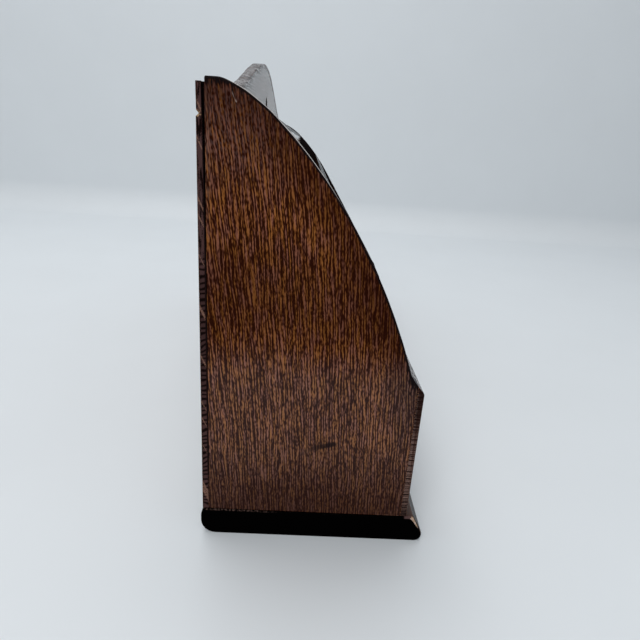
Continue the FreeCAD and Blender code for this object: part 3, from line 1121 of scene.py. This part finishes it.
def left_side_paint(looks):
    """What shows on the left side alone: varnish left low down, a darker band at mid height, painted shade
    towards the foot, a painted highlight and painted sheen near the top, rubbed edges, scratches.
    """
    height_drift = 14 * MM
    varnish_fade = mm(80, 62)
    varnish_foot = mm(14, 40)
    dark_middle = 93 * MM
    dark_middle_fade = mm(24, 4)
    foot_shade = mm(48, 12)
    rubbed_rear = mm(36.6, 38.2)
    rubbed_height = mm(105, 135)
    foot_line_height = mm(0.7, 0.35)
    foot_line_place = -28.5 * MM
    foot_line_reach = mm(5.5, 3.5)
    sheen_height = mm(118, 150)
    sheen_rear = mm(4, 26)
    dark_scratch = (mm(1.6, 39.0), mm(-5.6, 41.1), 1.45 * MM)
    scratch_tail = (mm(5.4, 36.6), mm(1.6, 39.0), 1.2 * MM)
    thick_end = (0, -3 * MM)
    light_scratch = (mm(31.5, 153.9), mm(29.9, 150.7), 0.24 * MM)
    bright_end = mm(153, 150.8)
    highlight_height = mm(124, 131)
    highlight_front = mm(34, 31)
    finish = looks.settings.oak
    sheet = looks.sheet
    streaks = looks.streaks
    flecks = looks.flecks
    up = sheet.axis(Z)
    back = sheet.axis(Y)
    uneven = up + height_drift * (looks.cloud - 0.5)
    low = uneven.rise(*varnish_fade) * (0.5 + 0.5 * uneven.rise(*varnish_foot))
    middle = abs(uneven - dark_middle).rise(*dark_middle_fade)
    # A darker band at mid height, and painted shade that deepens towards the foot, in the pore colour
    looks.paint((0.36 * middle).most(0.72 * uneven.rise(*foot_shade)), finish.pore)
    rubbed = back.rise(*rubbed_rear) * streaks.rise(0.44, 0.6) * up.rise(*rubbed_height)
    looks.paint(0.4 * rubbed, finish.rubbed)
    above = up - BOX["left_side"][0][Z]
    foot_line = above.rise(*foot_line_height) * abs(back - foot_line_place).rise(*foot_line_reach)
    looks.paint(0.3 * foot_line * streaks.rise(0.4, 0.6), finish.rubbed)
    # Painted sheen in the flecks near the top rear corner
    corner = up.rise(*sheen_height) * back.rise(*sheen_rear)
    looks.paint(0.5 * corner * flecks.rise(0.4, 0.62), finish.fleck_sheen)
    thick = 0.62 + 0.25 * back.rise(*thick_end) + 0.9 * (flecks - 0.5)
    dirt = (segment_mark(sheet, *dark_scratch) * thick).most(0).least(0.9)
    tail = segment_mark(sheet, *scratch_tail) * flecks.rise(0.42, 0.6)
    looks.paint(dirt.most(0.4 * tail), finish.scratch)
    scrape = segment_mark(sheet, *light_scratch) * (0.5 + 0.4 * up.rise(*bright_end))
    looks.paint(scrape * (0.15 + 0.85 * flecks.rise(0.40, 0.52)), finish.scrape)
    # Painted highlight on the left side's arris only high up and away from its rear
    looks.wear_and_highlight = up.rise(*highlight_height) * back.rise(*highlight_front)
    looks.height = looks.height - 0.8 * dirt
    looks.rough = looks.rough + 0.2 * dirt
    looks.coat = low * (1 - 0.65 * looks.dark) * (1 - dirt)


def back_paint(looks):
    """What shows on the back board alone: a split beside its chip, its crest's dark layers, ringed ends."""
    split_drop = 0.45 * MM
    split_half = mm(0.25, 0.08)
    split_run = mm(-150, -163)
    rim_run = mm(-160, -164)
    layer_sizes = mm(20, 5, 1.4)
    spot_place = (-49 * MM, BOX["back_board"][0][Y] + 0.3 * MM, 175.2 * MM)
    spot_size = mm(3.5, 0.9, 0.8)
    dull_run = mm(-10, 30)
    slant_size = 9 * MM
    drift_size = 5 * MM
    fibre_sizes = (math.inf, 0.7 * MM, 7 * MM)
    ray_slope = 2.1
    ray_distance = 17 * MM
    fibre_drift = 14 * MM
    fibre_height = mm(100, 112)
    pale_height = mm(96, 112)
    pale_foot = mm(66, 50)
    dark_rim = mm(0.2, 0.65)
    finish = looks.settings.oak
    wear = looks.settings.wear
    sheet = looks.sheet
    flecks = looks.flecks
    low, high = BOX["back_board"]
    across = sheet.axis(X)
    back = sheet.axis(Y)
    up = sheet.axis(Z)
    split = abs(up - wear.chip_height + split_drop).rise(*split_half) * across.rise(*split_run)
    outward = (back - high[Y]) / wear.chip_depth
    aside = (up - wear.chip_height) / wear.chip_half
    rim = (outward * outward + aside * aside + 3 * (flecks - 0.5)).rise(1.7, 1.1)
    split = split.most(rim * across.rise(*rim_run))
    looks.paint(0.55 * split, finish.raw)
    looks.height = looks.height - 0.8 * split
    crest = sheet.mark("edge_stain_and_shade").rise(0.32, 0.5)
    layers = sheet.noise(sheet.place, layer_sizes).rise(0.44, 0.66) * crest
    spot = sheet.vector("DIVIDE", sheet.vector("SUBTRACT", sheet.place, spot_place), spot_size)
    blot = (0.4 * layers).most(0.95 * sheet.size(spot).rise(1.0, 0.4))
    looks.paint(blot, finish.edge)
    dull = 0.75 * crest * across.rise(*dull_run)
    looks.coat = looks.coat * (1 - blot) * (1 - dull) * (1.1 - 0.25 * looks.dark)
    depth = back - (low[Y] + high[Y]) / 2
    slant = sheet.noise(sheet.place, stretch(Z, slant_size, math.inf))
    drift = sheet.noise(sheet.place, stretch(Z, drift_size, math.inf))
    turns = (up + (3.2 * (slant - 0.5) + 0.25) * depth) / finish.rung_pitch + 2.2 * drift
    rungs = (0.5 + 0.5 * turns.wave() + 0.45 * (flecks - 0.5)).rise(0.12, 0.66)
    fibres = (0.8 * sheet.noise(sheet.place, fibre_sizes) + 0.2 * flecks).rise(0.40, 0.60)
    rays = sheet.line_noise((up - ray_slope * depth) / ray_distance, 0.0)
    rays = abs(rays - 0.5).rise(0.02, 0.008) * sheet.mark("end_grain")
    looks.paint(rays, finish.rubbed)
    looks.bare = split.most(0.8 * rays * flecks.rise(0.25, 0.5))
    upper = (up + fibre_drift * (looks.cloud - 0.5)).rise(*fibre_height)
    looks.end_ticks = rungs + upper * (fibres - rungs)
    looks.end_light = finish.end_brown
    pale = 0.64 + 1.2 * up.rise(*pale_height) + 0.3 * up.rise(*pale_foot)
    looks.end_pale = pale * (0.2 + 0.8 * (high[Y] - back).rise(*dark_rim))


def front_paint(looks):
    """What shows on the front board alone: its end grain is palest low down."""
    pale_drift = 8 * MM
    pale_top = mm(54, 40)
    pale_foot = mm(12, 20)
    dark_rim = mm(0.2, 0.6)
    up = looks.sheet.axis(Z) + pale_drift * (looks.cloud - 0.5)
    inset = looks.sheet.axis(Y) - BOX["front_board"][0][Y]
    pale = 0.34 + 0.76 * up.rise(*pale_top) * up.rise(*pale_foot)
    looks.end_pale = pale * (0.25 + 0.75 * inset.rise(*dark_rim))


def divider_paint(looks):
    """What shows on the dividers alone: a full, glossy coat of varnish."""
    looks.coat = 0.9 + 0.1 * looks.cloud
    looks.gloss = 0.1


def base_material(settings):
    """Ebonised wood: black with some brown along the grain, rubbed brown on its edges, bare in chips."""
    grain_sizes = stretch(X, 6 * MM, 0.8 * MM)
    cloud_sizes = stretch(X, 40 * MM, 9 * MM)
    worn_inset = mm(0.5, 1.5)
    ledge_edge = mm(-35.5, -36.5)
    arris_depth = mm(0.6, 0.2)
    arris_inset = mm(0.8, 0.2)
    rubbed_run = mm(8, 20)
    rubbed_drift = 30 * MM
    broken_place = -35.9 * MM
    broken_reach = mm(1.7, 1.1)
    broken_depth = mm(0.9, 0.4)
    broken_inset = mm(1.4, 0.5)
    coat_inset = mm(0.8, 3)
    bump_depth = 0.01 * MM
    finish = settings.base
    oak = settings.oak
    sheet = Sheet("ebonised_wood")
    grain = sheet.noise(sheet.place, grain_sizes, 2.0, 0.6)
    cloud = sheet.noise(sheet.place, cloud_sizes, 3.0, 0.55)
    low, high = BOX["base_board"]
    back = sheet.axis(Y)
    inset = high[X] - abs(sheet.axis(X))
    from_left = sheet.axis(X) - low[X]
    under_top = high[Z] - sheet.axis(Z)
    end = sheet.mark("end_grain")
    wood = sheet.mix(0.6 * grain.rise(0.5, 0.75) * (1 - end), finish.black, finish.brown)
    wear = (sheet.mark("edge_wear") * (0.5 + cloud)).rise(0.65, 0.95) * (1 - end)
    wear = wear * inset.rise(*worn_inset).most(back.rise(*ledge_edge))
    wood = sheet.mix(0.8 * wear, wood, finish.wear_and_highlight)
    arris = under_top.rise(*arris_depth) * from_left.rise(*arris_inset) * grain.rise(0.42, 0.6)
    rubbed = arris * (back + rubbed_drift * (cloud - 0.5)).rise(*rubbed_run)
    wood = sheet.mix(0.8 * rubbed, wood, finish.wear_and_highlight)
    near_end = from_left.rise(*broken_inset) * under_top.rise(*broken_depth)
    broken = near_end * abs(back - broken_place).rise(*broken_reach)
    wood = sheet.mix(0.8 * broken, wood, finish.broken)
    torn = (sheet.mark("raw_wood") * (0.6 + 0.8 * grain)).rise(0.3, 0.55)
    wood = sheet.mix(torn, wood, sheet.mix(grain.rise(0.42, 0.6), oak.raw, oak.scrape))
    varying = {
        "Base Color": wood,
        "Roughness": 0.38 + 0.2 * cloud + 0.2 * torn,
        "Coat Weight": 0.48 * inset.rise(*coat_inset) * (1 - torn),
    }
    fixed = {"Specular IOR Level": 0.0, "Coat Roughness": 0.25, "Coat IOR": 1.45}
    return sheet.surface(varying, fixed, grain, bump_depth)


def steel_material(finish):
    """Steel dulled with age: bright metal under a patchy brown film with fine scratches."""
    patch_sizes = (1 / 900, 1 / 900, 1 / 900)
    scratch_sizes = (1 / 9000, 1 / 900, 1 / 4000)
    bump_depth = 0.02 * MM
    sheet = Sheet("aged_steel")
    film = sheet.noise(sheet.place, patch_sizes, 3.0, 0.6).rise(0.42, 0.62)
    scratches = sheet.noise(sheet.place, scratch_sizes)
    varying = {
        "Base Color": sheet.mix(film, finish.bright, finish.tarnish),
        "Roughness": 0.34 + 0.3 * film + 0.1 * scratches,
        "Metallic": 1 - 0.55 * film,
    }
    return sheet.surface(varying, {"Specular IOR Level": 0.5}, scratches, bump_depth)


def floor_material(look):
    """Matt pale floor with a hardly visible mottle."""
    mottle_sizes = (1 / 14, 1 / 14, 1 / 14)
    bump_depth = 0.01 * MM
    sheet = Sheet("pale_floor")
    mottle = sheet.noise(sheet.place, mottle_sizes, 3.0)
    shade = tuple(0.96 * value for value in look.floor)
    varying = {"Base Color": sheet.mix(mottle, shade, look.floor), "Roughness": 0.5 + 0.1 * mottle}
    return sheet.surface(varying, {"Specular IOR Level": 0.3}, mottle, bump_depth)


# Stage


def sweep_surface():
    """Floor and backdrop in one sheet: a level run, a quarter circle and an upright, carried sideways."""
    near_x = -4.0
    bend_x = 0.56
    radius = 0.05
    top_z = 0.9
    half_span = 4.0
    bend_points = 24
    level_points = 12
    span_points = 9
    turn = np.linspace(0, math.pi / 2, bend_points)
    level = np.linspace([near_x, 0], [bend_x, 0], level_points)
    bend = np.stack([bend_x + radius * np.sin(turn), radius * (1 - np.cos(turn))], axis=1)
    profile = np.vstack([level, bend[1:], [bend_x + radius, top_z]])
    across = np.linspace(-half_span, half_span, span_points)
    count = len(profile)
    points = np.empty((len(across), count, 3))
    points[..., [X, Z]] = profile
    points[..., Y] = across[:, None]
    first = np.arange(len(across) - 1)[:, None] * count + np.arange(count - 1)
    corners = (first, first + 1, first + count + 1, first + count)
    return points.reshape(-1, 3), np.stack(corners, axis=-1).reshape(-1, 4)


def soft_lamp(name, energy, place, target):
    """Large square lamp that faces a point."""
    lamp = bpy.data.lights.new(name, "AREA")
    lamp.shape = "SQUARE"
    lamp.size = 1.0
    lamp.energy = energy
    thing = bpy.data.objects.new(name, lamp)
    bpy.context.collection.objects.link(thing)
    thing.location = place
    aim = Vector(place) - Vector(target)
    thing.rotation_euler = aim.to_track_quat("Z", "Y").to_euler()


def add_camera(look):
    """Camera by its place and three turns: heading, pitch and roll."""
    data = bpy.data.cameras.new("photo_camera")
    data.lens = look.focal_length
    data.clip_start = 0.01
    camera = bpy.data.objects.new("photo_camera", data)
    bpy.context.collection.objects.link(camera)
    place = (BOX["left_side"][0][X] - look.camera_distance, look.camera_rearward, look.camera_height)
    heading = Matrix.Rotation(-math.pi / 2 - look.camera_heading, 4, "Z")
    pitch = Matrix.Rotation(math.pi / 2 - look.camera_pitch, 4, "X")
    roll = Matrix.Rotation(look.camera_roll, 4, "Z")
    camera.matrix_world = Matrix.Translation(place) @ heading @ pitch @ roll
    bpy.context.scene.camera = camera


# Operators


class LETTER_OT_sides(Operator):
    """Build both sides"""

    bl_idname = "letter_holder.sides"
    bl_label = "Sides"

    def execute(self, context):
        settings = context.scene.letter_holder
        oak = settings.oak
        woods = {
            "left_side": (oak.left_slope, (0.31, 0.07, 0.02), oak.side_varnish, left_side_paint),
            "right_side": (oak.right_slope, (0.83, 0.52, 0.41), oak.side_varnish),
        }
        for index, (name, wood) in enumerate(woods.items()):
            material = oak_material(name, settings, Z, *wood)
            board = side_board(name, settings.shape, settings.wear, seed=10 * index)
            board.piece(name, material, "stained_oak")
        return {"FINISHED"}


class LETTER_OT_back(Operator):
    """Build the back board with its crest and hanging hole"""

    bl_idname = "letter_holder.back"
    bl_label = "Back board"

    def execute(self, context):
        settings = context.scene.letter_holder
        oak = settings.oak
        wood = (oak.board_slope, (0.4, 0.2, 0.9), oak.board_varnish, back_paint)
        material = oak_material("back_board", settings, X, *wood)
        back_board(settings.shape, settings.wear, seed=30).piece("back_board", material, "stained_oak")
        return {"FINISHED"}


class LETTER_OT_front(Operator):
    """Build the front board"""

    bl_idname = "letter_holder.front"
    bl_label = "Front board"

    def execute(self, context):
        settings = context.scene.letter_holder
        oak = settings.oak
        wood = (oak.board_slope, (0.9, 0.6, 0.1), oak.board_varnish, front_paint)
        material = oak_material("front_board", settings, X, *wood)
        front_board(settings.shape, settings.wear, seed=40).piece("front_board", material, "stained_oak")
        return {"FINISHED"}


class LETTER_OT_dividers(Operator):
    """Build the three dividers"""

    bl_idname = "letter_holder.dividers"
    bl_label = "Dividers"

    def execute(self, context):
        settings = context.scene.letter_holder
        oak = settings.oak
        for index, name in enumerate(DIVIDERS):
            shift = (0.2 + 0.37 * index, 0.5, 0.3 * index)
            wood = (-oak.board_slope, shift, oak.board_varnish, divider_paint)
            material = oak_material(name, settings, X, *wood)
            board = divider_board(name, settings.shape, settings.wear, seed=50 + 10 * index)
            board.piece(name, material, "stained_oak")
        return {"FINISHED"}


class LETTER_OT_base(Operator):
    """Build the base board"""

    bl_idname = "letter_holder.base"
    bl_label = "Base board"

    def execute(self, context):
        settings = context.scene.letter_holder
        material = base_material(settings)
        base_board(settings.shape, settings.wear, seed=90).piece("base_board", material, "ebonised_base")
        return {"FINISHED"}


class LETTER_OT_fixings(Operator):
    """Finish the pins and screws"""

    bl_idname = "letter_holder.fixings"
    bl_label = "Pins and screws"

    def execute(self, context):
        material = steel_material(context.scene.letter_holder.steel)
        for name in ("back_pins", "front_pins", "base_screws"):
            mesh = frame["nodes"][name].data
            mesh.materials.clear()
            mesh.materials.append(material)
        return {"FINISHED"}


class LETTER_OT_stage(Operator):
    """Set up the floor, the light and the camera"""

    bl_idname = "letter_holder.stage"
    bl_label = "Stage"

    def execute(self, context):
        look = context.scene.letter_holder.stage
        points, faces = sweep_surface()
        mesh = bpy.data.meshes.new("floor")
        mesh.from_pydata(points.tolist(), [], faces.tolist())
        mesh.polygons.foreach_set("use_smooth", np.ones(len(mesh.polygons), bool))
        mesh.materials.append(floor_material(look))
        floor = bpy.data.objects.new("floor", mesh)
        context.collection.objects.link(floor)
        world = bpy.data.worlds.new("soft_sky")
        world.use_nodes = True
        sky = world.node_tree.nodes["Background"]
        sky.inputs["Color"].default_value = (*look.sky, 1)
        sky.inputs["Strength"].default_value = look.sky_strength
        context.scene.world = world
        soft_lamp("top_lamp", look.top_power, place=(0.2, 0.25, 1.45), target=(0, 0, 0))
        soft_lamp("left_lamp", look.left_power, place=(-1.1, 0.2, 1.0), target=(-0.16, 0, 0.08))
        add_camera(look)
        context.scene.view_settings.view_transform = "Standard"
        return {"FINISHED"}


class LETTER_PT_build(Panel):
    """Buttons that build the letter holder piece by piece"""

    bl_idname = "LETTER_PT_build"
    bl_label = "Letter Holder"
    bl_space_type = "VIEW_3D"
    bl_region_type = "UI"
    bl_category = "Letter Holder"

    def draw(self, context):
        for operator in OPERATORS:
            self.layout.operator(operator.bl_idname)


GROUPS = (BoardShape, BoardWear, OakFinish, BaseFinish, SteelFinish, StageLook, HolderSettings)
OPERATORS = (
    LETTER_OT_sides,
    LETTER_OT_back,
    LETTER_OT_front,
    LETTER_OT_dividers,
    LETTER_OT_base,
    LETTER_OT_fixings,
    LETTER_OT_stage,
)
CLASSES = GROUPS + OPERATORS + (LETTER_PT_build,)


def register():
    for kind in CLASSES:
        bpy.utils.register_class(kind)
    bpy.types.Scene.letter_holder = PointerProperty(type=HolderSettings)


def unregister():
    del bpy.types.Scene.letter_holder
    for kind in reversed(CLASSES):
        bpy.utils.unregister_class(kind)


def main():
    register()
    for operator in OPERATORS:
        group, name = operator.bl_idname.split(".")
        getattr(getattr(bpy.ops, group), name)()


if __name__ == "__main__":
    main()
